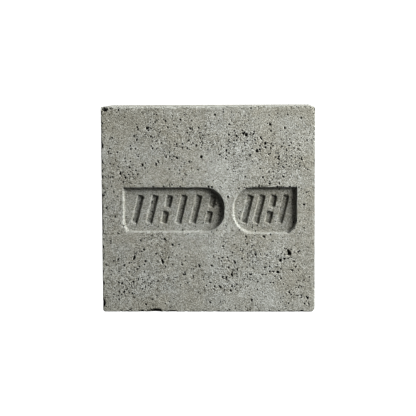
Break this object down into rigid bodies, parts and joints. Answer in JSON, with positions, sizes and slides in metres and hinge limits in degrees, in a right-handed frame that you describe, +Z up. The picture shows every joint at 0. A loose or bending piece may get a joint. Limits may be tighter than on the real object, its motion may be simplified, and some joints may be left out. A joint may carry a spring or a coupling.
{
  "type": "concrete padstone",
  "caption": "Upright cast concrete padstone that spreads a beam's load over a wall, with round-ended sunk panels of slanted strokes on its marked face.",
  "frame": {"origin": "middle of the underside, on the surface that the block stands on", "axes": "+X along the block's length, to the right seen from the marked face; +Y through its thickness, away from the marked face; +Z up"},
  "size_m": [0.215, 0.102, 0.208],
  "materials": {
    "concrete": "matte"
  },
  "bodies": {
    "root": {"padstone": "concrete"}
  },
  "joints": []
}
